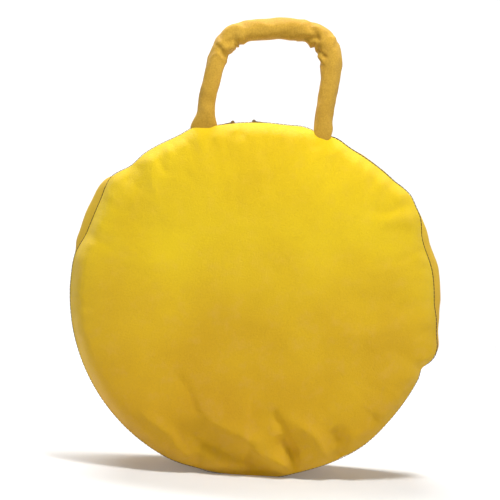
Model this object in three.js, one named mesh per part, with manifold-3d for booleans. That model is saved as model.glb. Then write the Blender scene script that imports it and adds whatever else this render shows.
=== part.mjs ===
// A round padded carrying bag for a diabolo, with a stuffed loop handle.
// Millimetres, +Z up, front panel facing -Y. The origin is at the middle of the flat sole.
import * as THREE from 'three'
import { mergeVertices } from 'three/addons/utils/BufferGeometryUtils.js'
import Module from 'manifold-3d'

const wasm = await Module()
wasm.setup()

// ---------------------------------------------------------------- driving dimensions
const BODY_RADIUS = 180 // radius of the round panels
const SOLE_DROP = 3.5 // how far the sole is flattened into the circle
const ZIP_RADIUS = 200 // radius of the flatter arc that the zip runs along, over the top
const ZIP_CENTRE_DROP = 31 // centre of that arc, below the centre of the panels
const GUSSET_HALF = 42 // half the width of the gusset between the two panels
const CROWN = 22 // how far the stuffed panels bulge past their rims
const CLEAR = 0.3 // gap between neighbouring layers

const CLOTH = 1.2 // outer cloth
const FOAM = 4 // closed-cell foam sheet
const LINING = 0.6 // lining cloth
const BINDING_HIGH = 8 // bound seam allowance, standing inwards from each seam
const BINDING_THICK = 2.5

const CHAIN_HALF_GAP = 0.7 // from the middle of the zip to each coil
const COIL_WIDE = 3.5
const COIL_LOW = -1.4 // bottom of the coil, from the strip's outer face
const COIL_HIGH = 1
const TAPE_LOW = -2.6
const TAPE_HIGH = -1.6
const TAPE_EDGE = 16 // far edge of each tape, from the middle of the zip
const STRIP_EDGE = 8 // folded edge of each strip, from the middle of the zip
const STRIP_END_GAP = 0.15 // degrees left at each end of the strips
const GUSSET_END_GAP = 0.3 // degrees left at each end of the gusset
const CHAIN_END = 44.7 // degrees along the zip's arc where the chain ends
const STOP_LONG = 1.1 // degrees of arc that a stop covers

const SLIDER_LONG = 13
const SLIDER_PLATE = 1.6
const SLIDER_HALF_WIDE = 6.5
const SLIDER_FLOOR = 1.4 // thickness of the slider's lower plate
const SLIDER_GAP = 0.4 // between a slider and the coils and tapes that run through it
const SLIDER_WEB = 0.35 // half the thickness of the web that runs between the coils
const SLIDER_INSET = 0.5 // how far the flanges and the lower plate stand inside the upper one
const BAIL_POST = [2.3, 3.3] // inner and outer face of each bail post, from the middle
const LAP = 0.5 // how far two pieces of one solid reach into each other
const SLIDER_REST = [-9, -3] // degrees from the top where the two sliders are parked
const BAIL_HEIGHT = 5.3 // bail bar, above the strip's outer face
const BAIL_RADIUS = 0.8
const TAB_LONG = 30
const TAB_WIDE = 8
const TAB_THICK = 1.4
const TAB_NECK = 1.9 // half the width of the neck beside the eye
const TAB_NECK_LONG = 3.6
const TAB_SHOULDER = 6 // where the plate reaches its full width
const TAB_EYE = 2 // outer radius of the eye
const TAB_HOLE = 1.8 // radius of the hole in the round end
const TAB_DROOP = 9 // degrees that a pull tab leans down onto the chain

const HANDLE_RADIUS = 9.8
const HANDLE_HALF = 57.5 // from the middle of the bag to the middle of each leg
const HANDLE_Y = -46 // the handle stands over the front seam
const HANDLE_PIVOT_Z = 351 // where the legs bend on their sewn ends
const HANDLE_BACK = -85 // degrees of lean, where it lies on the back of the bag
const HANDLE_FORWARD = 125 // degrees of lean, where it lies on the front panel
const LEAN_STEP = 5
const LEG_REACH = 40 // length of leg that can pass near its sewn end
const END_HALF_WIDE = 8.5
const END_HALF_DEEP = 7
const END_HIGH = 12
const HANDLE_TOP_Z = 439 // middle of the grip
const HANDLE_BEND = 36 // radius of the two upper corners
const PATCH_WIDE = 24
const PATCH_HIGH = 30

// ---------------------------------------------------------------- derived places
const BODY_Z = BODY_RADIUS - SOLE_DROP
const ZIP_Z = BODY_Z - ZIP_CENTRE_DROP
const COS_CORNER = (ZIP_RADIUS ** 2 - BODY_RADIUS ** 2 - ZIP_CENTRE_DROP ** 2)
  / (2 * BODY_RADIUS * ZIP_CENTRE_DROP)
const BODY_CORNER = Math.acos(COS_CORNER) // corner's angle from the top, about the panels' centre
const ZIP_CORNER = Math.asin(BODY_RADIUS * Math.sin(BODY_CORNER) / ZIP_RADIUS)
const deg = THREE.MathUtils.degToRad

const colours = {
  cloth: 0xe2bd1f,
  handle: 0xe3b53f,
  lining: 0xb98a1c,
  foam: 0xd8d4c4,
  tape: 0x3c2a16,
  coil: 0x2c1d10,
  slider: 0x6b4a1c,
  binding: 0x4a3517,
}

const bag = new THREE.Group()

function material(kind) {
  const metal = kind === 'slider'
  return new THREE.MeshStandardMaterial({
    color: colours[kind],
    roughness: metal ? 0.4 : 0.85,
    metalness: metal ? 0.9 : 0,
  })
}

function add(name, geometry, kind) {
  const mesh = new THREE.Mesh(geometry, material(kind))
  mesh.name = name
  bag.add(mesh)
  return mesh
}

// ---------------------------------------------------------------- solids and booleans
function toSolid(geometry) {
  const bare = geometry.clone()
  bare.deleteAttribute('normal')
  bare.deleteAttribute('uv')
  const merged = mergeVertices(bare, 1e-4)
  return new wasm.Manifold(new wasm.Mesh({
    numProp: 3,
    vertProperties: Float32Array.from(merged.attributes.position.array),
    triVerts: Uint32Array.from(merged.index.array),
  }))
}

function toGeometry(solid) {
  const mesh = solid.getMesh()
  const geometry = new THREE.BufferGeometry()
  geometry.setAttribute('position', new THREE.BufferAttribute(mesh.vertProperties, 3))
  geometry.setIndex(new THREE.BufferAttribute(mesh.triVerts, 1))
  geometry.computeVertexNormals()
  return geometry
}

function box(low, high) {
  const size = high.map((v, i) => v - low[i])
  const middle = high.map((v, i) => (v + low[i]) / 2)
  return new THREE.BoxGeometry(...size).translate(...middle)
}

// A bar along Y with a round section.
function barAlongY(radius, x, z, y0, y1, sides) {
  return new THREE.CylinderGeometry(radius, radius, y1 - y0, sides).translate(x, (y0 + y1) / 2, z)
}

// An outline in the X-Z plane, pushed out along Y from y0 to y1.
function extrudeAlongY(points, y0, y1) {
  const shape = new THREE.Shape(points)
  const geometry = new THREE.ExtrudeGeometry(shape, { depth: y1 - y0, bevelEnabled: false })
  return geometry.rotateX(Math.PI / 2).translate(0, y1, 0)
}

// ---------------------------------------------------------------- outlines
// Points of an arc in the X-Z plane; angles are measured from the top towards +X.
function arcPoints(centreZ, radius, from, to, steps) {
  const points = []
  for (let i = 0; i <= steps; i += 1) {
    const angle = from + (to - from) * i / steps
    points.push(new THREE.Vector2(radius * Math.sin(angle), centreZ + radius * Math.cos(angle)))
  }
  return points
}

// Lower outline at a depth inside the body's surface: down the right side, over the flat
// sole and up the left side, between the two angles given as plus and minus start.
function lowerOutline(depth, start, steps) {
  const radius = BODY_RADIUS - depth
  const soleAngle = Math.PI - Math.acos((BODY_Z - depth) / radius)
  const right = arcPoints(BODY_Z, radius, start, soleAngle, steps)
  const left = right.map((p) => new THREE.Vector2(-p.x, p.y)).reverse()
  return [...right, ...left]
}

// The whole outline at a depth inside the surface, clockwise from the left corner.
function wholeOutline(depth) {
  const zipRadius = ZIP_RADIUS - depth
  const radius = BODY_RADIUS - depth
  const cosine = (zipRadius ** 2 - radius ** 2 - ZIP_CENTRE_DROP ** 2)
    / (2 * radius * ZIP_CENTRE_DROP)
  const corner = Math.acos(cosine)
  const zipCorner = Math.asin(radius * Math.sin(corner) / zipRadius)
  const top = arcPoints(ZIP_Z, zipRadius, -zipCorner, zipCorner, 14)
  const bottom = lowerOutline(depth, corner, 13)
  return [...top, ...bottom.slice(1, -1)]
}

// ---------------------------------------------------------------- panels
// A crowned plate over the outline. Its two faces lie inner and outer millimetres in front
// of the gusset's edge at the rim, and side is -1 for the front and 1 for the back.
function crownedPlate(inset, inner, outer, side) {
  const outline = wholeOutline(inset)
  const rings = [0.35, 0.65, 0.85, 1]
  const count = outline.length
  const positions = []
  const triangles = []
  const faceY = (rise, s) => side * (GUSSET_HALF + rise + CROWN * (1 - s * s))
  for (const rise of [outer, inner]) {
    positions.push(0, faceY(rise, 0), BODY_Z)
    for (const s of rings) {
      for (const p of outline) {
        positions.push(p.x * s, faceY(rise, s), BODY_Z + (p.y - BODY_Z) * s)
      }
    }
  }
  const layer = 1 + rings.length * count
  const at = (face, ring, i) => face * layer + 1 + ring * count + (i % count)
  const push = (a, b, c, flip) => triangles.push(...(flip ? [a, c, b] : [a, b, c]))
  for (let face = 0; face < 2; face += 1) {
    const flip = (face === 1) !== (side === -1)
    for (let i = 0; i < count; i += 1) {
      push(face * layer, at(face, 0, i + 1), at(face, 0, i), !flip)
      for (let ring = 0; ring + 1 < rings.length; ring += 1) {
        push(at(face, ring, i), at(face, ring, i + 1), at(face, ring + 1, i + 1), !flip)
        push(at(face, ring, i), at(face, ring + 1, i + 1), at(face, ring + 1, i), !flip)
      }
    }
  }
  const rim = rings.length - 1
  for (let i = 0; i < count; i += 1) {
    push(at(0, rim, i), at(0, rim, i + 1), at(1, rim, i + 1), side === 1)
    push(at(0, rim, i), at(1, rim, i + 1), at(1, rim, i), side === 1)
  }
  const geometry = new THREE.BufferGeometry()
  geometry.setAttribute('position', new THREE.Float32BufferAttribute(positions, 3))
  geometry.setIndex(triangles)
  geometry.computeVertexNormals()
  return geometry
}

// Each padded panel is three sheets: lining, foam and outer cloth, from the inside out.
function addPanel(name, side) {
  const foamFrom = LINING + CLEAR
  const clothFrom = foamFrom + FOAM + CLEAR
  add(`${name}_lining`, crownedPlate(4, 0, LINING, side), 'lining')
  add(`${name}_foam`, crownedPlate(2, foamFrom, foamFrom + FOAM, side), 'foam')
  add(`${name}_panel`, crownedPlate(0, clothFrom, clothFrom + CLOTH, side), 'cloth')
}

// ---------------------------------------------------------------- gusset
// One layer of the lower gusset: a band from one corner round the bottom to the other.
function gussetBand(depth, thick, halfWide) {
  const start = BODY_CORNER + deg(GUSSET_END_GAP)
  const outside = lowerOutline(depth, start, 13)
  const inside = lowerOutline(depth + thick, start, 13).reverse()
  return extrudeAlongY([...outside, ...inside], -halfWide, halfWide)
}

function addGusset() {
  const foamDepth = CLOTH + CLEAR
  const liningDepth = foamDepth + FOAM + CLEAR
  const halfWide = GUSSET_HALF - CLEAR
  add('gusset', gussetBand(0, CLOTH, halfWide), 'cloth')
  add('gusset_foam', gussetBand(foamDepth, FOAM, halfWide), 'foam')
  add('gusset_lining', gussetBand(liningDepth, LINING, halfWide), 'lining')
}

// The bound seam allowance inside each panel seam stands inwards like a flange.
function addBinding(name, side) {
  const depth = CLOTH + FOAM + LINING + 4 * CLEAR
  const shape = new THREE.Shape(wholeOutline(depth))
  shape.holes.push(new THREE.Path(wholeOutline(depth + BINDING_HIGH).reverse()))
  const options = { depth: BINDING_THICK, bevelEnabled: false }
  const geometry = new THREE.ExtrudeGeometry(shape, options).rotateX(Math.PI / 2)
  const outerFace = GUSSET_HALF - CLEAR
  const top = side === 1 ? outerFace : -outerFace + BINDING_THICK
  add(name, geometry.translate(0, top, 0), 'binding')
}

// ---------------------------------------------------------------- zip
// A band along the zip's arc between two heights over the strip's outer face.
function zipBand(low, high, from, to, y0, y1, steps) {
  const outside = arcPoints(ZIP_Z, ZIP_RADIUS + high, from, to, steps)
  const inside = arcPoints(ZIP_Z, ZIP_RADIUS + low, from, to, steps).reverse()
  return extrudeAlongY([...outside, ...inside], y0, y1)
}

// The half of the zip gusset on one side: strip, tape and coil.
function addZipHalf(name, side) {
  const stripEnd = ZIP_CORNER - deg(STRIP_END_GAP)
  const chainEnd = deg(CHAIN_END)
  const coilEnd = chainEnd - deg(STOP_LONG)
  const coilFar = CHAIN_HALF_GAP + COIL_WIDE
  const span = (near, far) => (side === 1 ? [near, far] : [-far, -near])
  const strip = span(STRIP_EDGE, GUSSET_HALF - CLEAR)
  const tape = span(CHAIN_HALF_GAP + CLEAR, TAPE_EDGE)
  const coil = span(CHAIN_HALF_GAP, coilFar)
  add(`zip_strip_${name}`, zipBand(-CLOTH, 0, -stripEnd, stripEnd, ...strip, 14), 'cloth')
  add(`zip_tape_${name}`, zipBand(TAPE_LOW, TAPE_HIGH, -chainEnd, chainEnd, ...tape, 14), 'tape')
  add(`zip_coil_${name}`, zipBand(COIL_LOW, COIL_HIGH, -coilEnd, coilEnd, ...coil, 14), 'coil')
}

// Turn a piece built at the top of the zip's arc to its place along the arc.
function placeOnZip(geometry, degrees) {
  return geometry.translate(0, 0, ZIP_RADIUS).rotateY(deg(degrees)).translate(0, 0, ZIP_Z)
}

// An end stop bridges the ends of the two coils.
function addStop(name, side) {
  const half = COIL_WIDE + CHAIN_HALF_GAP
  const from = deg(CHAIN_END - STOP_LONG + 0.1)
  const to = deg(CHAIN_END)
  const ends = side === 1 ? [from, to] : [-to, -from]
  add(name, zipBand(COIL_LOW, COIL_HIGH, ...ends, -half, half, 1), 'slider')
}

// A cloth tab sewn over each end of the zip, where it meets the lower gusset.
function addEndTab(name, side) {
  const low = CLEAR
  const high = CLEAR + 1
  const half = 13
  const overStrip = arcPoints(ZIP_Z, ZIP_RADIUS, deg(CHAIN_END + 0.1), ZIP_CORNER, 2)
  const overGusset = arcPoints(BODY_Z, BODY_RADIUS, BODY_CORNER, BODY_CORNER + deg(2.6), 2)
  const line = [...overStrip, ...overGusset.slice(1)]
  const lift = (p, height) => {
    const out = new THREE.Vector2(p.x, p.y - (ZIP_Z + BODY_Z) / 2).normalize()
    return p.clone().addScaledVector(out, height)
  }
  const outline = [
    ...line.map((p) => lift(p, high)),
    ...line.map((p) => lift(p, low)).reverse(),
  ]
  const placed = side === 1 ? outline : outline.map((p) => new THREE.Vector2(-p.x, p.y)).reverse()
  add(name, extrudeAlongY(placed, -half, half), 'cloth')
}

// A slider: top and bottom plates joined by a thin web between the coils, side flanges
// over the coils' outer edges, and a bail on top that carries the pull tab.
function sliderGeometry() {
  const half = SLIDER_LONG / 2
  const plateLow = COIL_HIGH + SLIDER_GAP
  const plateHigh = plateLow + SLIDER_PLATE
  const floorHigh = TAPE_LOW - SLIDER_GAP
  const flangeIn = CHAIN_HALF_GAP + COIL_WIDE + SLIDER_GAP
  const flangeLow = TAPE_HIGH + SLIDER_GAP
  const floorWide = SLIDER_HALF_WIDE - SLIDER_INSET
  const flangeHigh = plateHigh - SLIDER_INSET
  const webLong = half - 2
  const pieces = [
    box([-half, -SLIDER_HALF_WIDE, plateLow], [half, SLIDER_HALF_WIDE, plateHigh]),
    box([-half, -floorWide, floorHigh - SLIDER_FLOOR], [half, floorWide, floorHigh]),
    box([-webLong, -SLIDER_WEB, floorHigh - LAP], [webLong, SLIDER_WEB, plateLow + LAP]),
    box([-half, flangeIn, flangeLow], [half, SLIDER_HALF_WIDE, flangeHigh]),
    box([-half, -SLIDER_HALF_WIDE, flangeLow], [half, -flangeIn, flangeHigh]),
    barAlongY(BAIL_RADIUS, 0, BAIL_HEIGHT, -BAIL_POST[1], BAIL_POST[1], 12),
  ]
  for (const side of [-1, 1]) {
    const ends = side === 1 ? BAIL_POST : [-BAIL_POST[1], -BAIL_POST[0]]
    pieces.push(box([-1, ends[0], plateHigh - LAP], [1, ends[1], BAIL_HEIGHT + BAIL_RADIUS]))
  }
  const solid = pieces.map(toSolid).reduce((sum, next) => sum.add(next))
  const corner = new THREE.CylinderGeometry(SLIDER_HALF_WIDE + 1.2, SLIDER_HALF_WIDE + 1.2, 30, 28)
  return toGeometry(solid.intersect(toSolid(corner.rotateX(Math.PI / 2))))
}

// A pull tab: an eye round the bail bar, a narrow neck and a plate with a round end.
function tabGeometry() {
  const halfThick = TAB_THICK / 2
  const halfWide = TAB_WIDE / 2
  const plateStart = 0.9
  const plate = new THREE.Shape()
  plate.moveTo(plateStart, -TAB_NECK)
  plate.lineTo(TAB_NECK_LONG, -TAB_NECK)
  plate.lineTo(TAB_SHOULDER, -halfWide)
  plate.lineTo(TAB_LONG - halfWide, -halfWide)
  plate.absarc(TAB_LONG - halfWide, 0, halfWide, -Math.PI / 2, Math.PI / 2, false)
  plate.lineTo(TAB_SHOULDER, halfWide)
  plate.lineTo(TAB_NECK_LONG, TAB_NECK)
  plate.lineTo(plateStart, TAB_NECK)
  const hole = new THREE.Path()
  hole.absarc(TAB_LONG - halfWide - 0.5, 0, TAB_HOLE, 0, Math.PI * 2, true)
  plate.holes.push(hole)
  const options = { depth: TAB_THICK, bevelEnabled: false, curveSegments: 10 }
  const flat = new THREE.ExtrudeGeometry(plate, options).translate(0, 0, -halfThick)
  const eye = barAlongY(TAB_EYE, 0, 0, -TAB_NECK, TAB_NECK, 16)
  const bore = barAlongY(BAIL_RADIUS + CLEAR, 0, 0, -TAB_NECK - 1, TAB_NECK + 1, 16)
  return toGeometry(toSolid(flat).add(toSolid(eye)).subtract(toSolid(bore)))
}

// The two sliders are parked side by side, and each tab points away from the other.
function addSlider(name, side, degrees) {
  add(`zip_slider_${name}`, placeOnZip(sliderGeometry(), degrees), 'slider')
  const tab = tabGeometry().rotateY(deg(TAB_DROOP))
  if (side === -1) tab.rotateZ(Math.PI)
  add(`pull_tab_${name}`, placeOnZip(tab.translate(0, 0, BAIL_HEIGHT), degrees), 'slider')
}

// ---------------------------------------------------------------- handle
// The handle's centre line: up one leg, round an upper corner, along the grip and back. It
// starts and ends one tube radius below the pivot, where the rounded ends reach.
class HandleArch extends THREE.Curve {
  constructor() {
    super()
    const legTop = HANDLE_TOP_Z - HANDLE_BEND
    const legFoot = HANDLE_PIVOT_Z - HANDLE_RADIUS
    const grip = HANDLE_HALF - HANDLE_BEND
    const point = (x, z) => new THREE.Vector2(x, z)
    const bend = (x, from, to) => new THREE.EllipseCurve(x, legTop, HANDLE_BEND, HANDLE_BEND,
      from, to, true)
    this.path = new THREE.CurvePath()
    this.path.add(new THREE.LineCurve(point(-HANDLE_HALF, legFoot), point(-HANDLE_HALF, legTop)))
    this.path.add(bend(-grip, Math.PI, Math.PI / 2))
    this.path.add(new THREE.LineCurve(point(-grip, HANDLE_TOP_Z), point(grip, HANDLE_TOP_Z)))
    this.path.add(bend(grip, Math.PI / 2, 0))
    this.path.add(new THREE.LineCurve(point(HANDLE_HALF, legTop), point(HANDLE_HALF, legFoot)))
  }

  getPoint(t, target = new THREE.Vector3()) {
    const p = this.path.getPointAt(Math.min(Math.max(t, 0), 1))
    return target.set(p.x, HANDLE_Y, p.y)
  }
}

function roundSection(radius, sides) {
  const points = []
  for (let i = 0; i < sides; i += 1) {
    const angle = 2 * Math.PI * i / sides
    points.push(new THREE.Vector2(radius * Math.cos(angle), radius * Math.sin(angle)))
  }
  return points
}

// A long roller along X through both pivots.
function pivotRoller(radius) {
  const roller = new THREE.CylinderGeometry(radius, radius, 4 * HANDLE_HALF, 40)
  return roller.rotateZ(Math.PI / 2).translate(0, HANDLE_Y, HANDLE_PIVOT_Z)
}

// A tube along the handle, its two feet rounded about the pivots so that they can turn.
function handleTube(shape) {
  const options = { steps: 32, bevelEnabled: false, extrudePath: new HandleArch() }
  const wide = 2 * HANDLE_HALF
  const reach = 2 * HANDLE_RADIUS
  const below = box([-wide, HANDLE_Y - reach, HANDLE_PIVOT_Z - reach],
    [wide, HANDLE_Y + reach, HANDLE_PIVOT_Z])
  const trim = toSolid(below).subtract(toSolid(pivotRoller(HANDLE_RADIUS)))
  return toGeometry(toSolid(new THREE.ExtrudeGeometry(shape, options)).subtract(trim))
}

function addHandle() {
  const sides = 14
  const sleeve = new THREE.Shape(roundSection(HANDLE_RADIUS, sides))
  sleeve.holes.push(new THREE.Path(roundSection(HANDLE_RADIUS - CLOTH, sides).reverse()))
  const core = new THREE.Shape(roundSection(HANDLE_RADIUS - CLOTH - CLEAR, sides))
  add('handle_sleeve', handleTube(sleeve), 'handle')
  add('handle_core', handleTube(core), 'foam')
}

// The space a leg sweeps as it leans from the back of the bag to the front.
function leaningLegs(x) {
  const legs = []
  for (let lean = HANDLE_BACK; lean <= HANDLE_FORWARD; lean += LEAN_STEP) {
    const radius = HANDLE_RADIUS + CLEAR
    const leg = new THREE.CylinderGeometry(radius, radius, LEG_REACH, 64)
    leg.translate(0, LEG_REACH / 2, 0).rotateX(Math.PI / 2).rotateX(lean * Math.PI / 180)
    legs.push(toSolid(leg.translate(x, HANDLE_Y, HANDLE_PIVOT_Z)))
  }
  return wasm.Manifold.union(legs)
}

// The flattened end of each leg, sewn down over the front seam and cut clear of the
// leaning leg.
function addHandleEnd(name, side) {
  const x = side * HANDLE_HALF
  const top = HANDLE_PIVOT_Z - HANDLE_RADIUS - 1
  const block = box([x - END_HALF_WIDE, HANDLE_Y - END_HALF_DEEP, top - END_HIGH],
    [x + END_HALF_WIDE, HANDLE_Y + END_HALF_DEEP, top])
  const rimRadius = ZIP_RADIUS + CLEAR
  const rim = new THREE.CylinderGeometry(rimRadius, rimRadius, 400, 160).translate(0, 0, ZIP_Z)
  const end = toSolid(block).subtract(toSolid(rim)).subtract(leaningLegs(x))
  add(`handle_end_${name}`, toGeometry(end), 'handle')
}

// A cloth patch behind the front lining spreads each leg's pull into the panel.
function addPatch(name, side) {
  const x = side * HANDLE_HALF
  const plate = crownedPlate(20, -2 - CLEAR, -CLEAR, -1)
  const half = PATCH_WIDE / 2
  const top = HANDLE_PIVOT_Z - 36
  const window = box([x - half, -90, top - PATCH_HIGH], [x + half, 0, top])
  const solid = toSolid(plate).intersect(toSolid(window))
  add(`handle_patch_${name}`, toGeometry(solid), 'binding')
}

// ---------------------------------------------------------------- assembly
addPanel('front', -1)
addPanel('back', 1)
addGusset()
addBinding('front_seam_binding', -1)
addBinding('back_seam_binding', 1)
addZipHalf('front', -1)
addZipHalf('rear', 1)
addStop('zip_stop_left', -1)
addStop('zip_stop_right', 1)
addEndTab('zip_end_tab_left', -1)
addEndTab('zip_end_tab_right', 1)
addSlider('left', -1, SLIDER_REST[0])
addSlider('right', 1, SLIDER_REST[1])
addHandle()
addHandleEnd('left', -1)
addHandleEnd('right', 1)
addPatch('left', -1)
addPatch('right', 1)

export default bag
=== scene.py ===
# A soft round carrying bag for a diabolo: cloth over sheet foam, with a stuffed loop handle.
# Lengths are in millimetres until a mesh is made, and every mesh is in the CAD model's frame.
import math

import bmesh
import bpy
import numpy as np
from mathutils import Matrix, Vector, noise


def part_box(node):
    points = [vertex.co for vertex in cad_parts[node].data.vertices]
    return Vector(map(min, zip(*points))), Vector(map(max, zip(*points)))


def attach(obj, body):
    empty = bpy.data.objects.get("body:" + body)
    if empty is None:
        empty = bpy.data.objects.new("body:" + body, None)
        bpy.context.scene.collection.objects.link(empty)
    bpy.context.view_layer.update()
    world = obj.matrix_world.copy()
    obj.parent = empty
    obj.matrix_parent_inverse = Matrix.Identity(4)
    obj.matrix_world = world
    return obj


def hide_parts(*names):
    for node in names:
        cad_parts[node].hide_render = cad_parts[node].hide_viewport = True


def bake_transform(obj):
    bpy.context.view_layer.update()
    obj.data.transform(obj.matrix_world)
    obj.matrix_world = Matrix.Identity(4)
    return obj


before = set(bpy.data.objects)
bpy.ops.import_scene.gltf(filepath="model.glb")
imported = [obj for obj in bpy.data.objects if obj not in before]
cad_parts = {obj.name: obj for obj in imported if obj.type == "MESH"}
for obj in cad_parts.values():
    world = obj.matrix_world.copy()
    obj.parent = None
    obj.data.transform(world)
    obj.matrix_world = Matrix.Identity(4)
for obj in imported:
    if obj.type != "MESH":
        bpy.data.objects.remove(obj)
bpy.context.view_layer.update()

MM = 0.001

BODY_R = 180.0  # round panels
BODY_Z = 176.5  # their centre
ZIP_R = 200.0  # flatter arc over the top
ZIP_DROP = 31.0  # its centre, below the panels' centre
ZIP_Z = BODY_Z - ZIP_DROP
CORNER = 53.5  # degrees from the top where the two arcs meet
ZIP_CORNER = 46.3  # the same corner, seen from the zip arc's centre
SEAM_Y = 43.0  # where the edges of the gusset and the zip strips tuck in
RIM_Y = 48.4  # outer face of each round panel at its rim
CROWN = 20.0  # how far the middle of a panel stands past its rim
CLOTH = 1.2  # thickness of the outer cloth
HANDLE_Y = -46.0  # the handle stands over the front seam
PANEL_RINGS = 44
PLAIN_INSET = 1.2  # how far a seam sits inside the gusset's edge where nothing pulls it in
BACK_SHARE = 0.35  # how much of each bump in the outline reaches the back of the bag

# The camera looks level along +Y and is tipped a little sideways.
CAMERA_AT = (-0.0068, -1.347, 0.2205)  # metres
CAMERA_LENS = 95.7
CAMERA_ROLL = -3.5  # degrees


# ------------------------------------------------------------------ camera
def make_camera():
    data = bpy.data.cameras.new("camera")
    data.sensor_width = 36
    data.lens = CAMERA_LENS
    data.clip_start = 0.01
    camera = bpy.data.objects.new("camera", data)
    camera.location = CAMERA_AT
    camera.rotation_euler = (math.radians(90), math.radians(CAMERA_ROLL), 0)
    bpy.context.collection.objects.link(camera)
    bpy.context.scene.camera = camera


make_camera()


# ------------------------------------------------------------------ small helpers
def make(name, points, faces):
    """A smooth-shaded mesh from points in millimetres."""
    mesh = bpy.data.meshes.new(name)
    mesh.from_pydata((np.asarray(points, dtype=float) * MM).tolist(), [], faces)
    mesh.validate()
    bm = bmesh.new()
    bm.from_mesh(mesh)
    bmesh.ops.recalc_face_normals(bm, faces=bm.faces)
    bm.to_mesh(mesh)
    bm.free()
    for polygon in mesh.polygons:
        polygon.use_smooth = True
    piece = bpy.data.objects.new(name, mesh)
    bpy.context.collection.objects.link(piece)
    return piece


def apply_modifiers(piece):
    bpy.context.view_layer.update()
    graph = bpy.context.evaluated_depsgraph_get()
    mesh = bpy.data.meshes.new_from_object(piece.evaluated_get(graph))
    piece.modifiers.clear()
    piece.data = mesh


def subdivide(piece):
    modifier = piece.modifiers.new("subdivision", "SUBSURF")
    modifier.levels = modifier.render_levels = 1
    apply_modifiers(piece)


def loft(name, sections, around=False):
    """Closed rings of points joined one to the next; capped unless they go all round."""
    sections = np.asarray(sections, dtype=float)
    count, ring = sections.shape[:2]
    faces = []
    for i in range(count if around else count - 1):
        a, b = i * ring, ((i + 1) % count) * ring
        for j in range(ring):
            k = (j + 1) % ring
            faces.append((a + j, a + k, b + k, b + j))
    if not around:
        faces.append(tuple(range(ring - 1, -1, -1)))
        faces.append(tuple((count - 1) * ring + j for j in range(ring)))
    return make(name, sections.reshape(-1, 3), faces)


def smooth_step(low, high, value):
    t = np.clip((np.asarray(value, dtype=float) - low) / (high - low), 0, 1)
    return t * t * (3 - 2 * t)


def turn(a):
    """An angle in degrees, brought between -180 and 180."""
    return (np.asarray(a, dtype=float) + 180) % 360 - 180


def gauss(a, centre, width):
    """A bell round an angle, 1 at its centre."""
    return np.exp(-(turn(np.asarray(a) - centre) / width) ** 2)


def window(a, low, high, soft):
    """1 between two angles, easing to 0 over the given degrees outside them."""
    a = turn(a)
    return smooth_step(low - soft, low, a) * (1 - smooth_step(high, high + soft, a))


def outward(points, z):
    """At each point, the unit direction straight out from the axis along y at height z."""
    away = points - (0, 0, z)
    away[:, 1] = 0
    return away / np.linalg.norm(away, axis=1)[:, None]


def rumple(points, size, seed):
    """Smooth noise from -1 to 1 at each point, with lumps of the given size."""
    shift = Vector((seed * 17.3, seed * 5.1, seed * 9.7))
    return np.array([noise.noise(Vector(p) / size + shift) for p in points])


# ------------------------------------------------------------------ outline
# Where the stuffed edge stands proud of, or dips inside, the plain outline:
# degrees from the top towards +X, width in degrees, height.
EDGE_BUMPS = [
    (-58, 7, 3.0), (-47, 4, -3.0), (-23, 4, 3.5), (13, 4, 2.0), (24, 4, 3.0), (54, 3, 1.5),
    (70, 6, -3.0), (104, 5, 6.5), (110, 2, -3.0), (140, 8, 1.5), (162, 8, -1.5), (-166, 6, -2.5),
]


def edge_share(side):
    """How much of each bump reaches the edge of the front (-1) or the back (1)."""
    return 1.0 if side < 0 else BACK_SHARE


def outline(a):
    """Radius of the bag's plain outline, in degrees from the top towards +X."""
    a = turn(a)
    r = np.radians(a)
    top = -ZIP_DROP * np.cos(r) + np.sqrt(ZIP_R ** 2 - (ZIP_DROP * np.sin(r)) ** 2)
    low = np.minimum(BODY_R, BODY_Z / np.maximum(-np.cos(r), 1e-6))
    return np.where(np.abs(a) <= CORNER, top, low)


def bump(a):
    """How far the stuffed edge stands proud of the plain outline."""
    return sum(height * gauss(a, centre, width) for centre, width, height in EDGE_BUMPS)


def seam_inset(a):
    """How far the front seam sits inside the gusset's edge."""
    return (PLAIN_INSET + 4.2 * window(a, 68, 88, 8) + 5.4 * window(a, -72, -62, 10)
            + 1.4 * window(a, 23, 47, 4))


def place(a, radius, y):
    """Points at an angle and radius round the panels' centre."""
    r = np.radians(a)
    return np.stack([radius * np.sin(r), y, BODY_Z + radius * np.cos(r)], axis=-1)


# ------------------------------------------------------------------ round panels
def disc_grid(rings):
    """Rings of points with six more in each: share of the radius, angle, and triangles."""
    s, angle, first = [0.0], [0.0], [0]
    for k in range(1, rings + 1):
        first.append(len(s))
        for i in range(6 * k):
            s.append(k / rings)
            angle.append(60.0 * i / k)
    faces = []
    for k in range(1, rings + 1):
        inner_count = max(6 * (k - 1), 1)
        for sector in range(6):
            for j in range(k):
                a = first[k] + (sector * k + j) % (6 * k)
                b = first[k] + (sector * k + j + 1) % (6 * k)
                c = first[k - 1] + (sector * (k - 1) + j) % inner_count
                faces.append((a, c, b))
                if j < k - 1:
                    d = first[k - 1] + (sector * (k - 1) + j + 1) % inner_count
                    faces.append((b, c, d))
    return np.array(s), np.array(angle), faces


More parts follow.
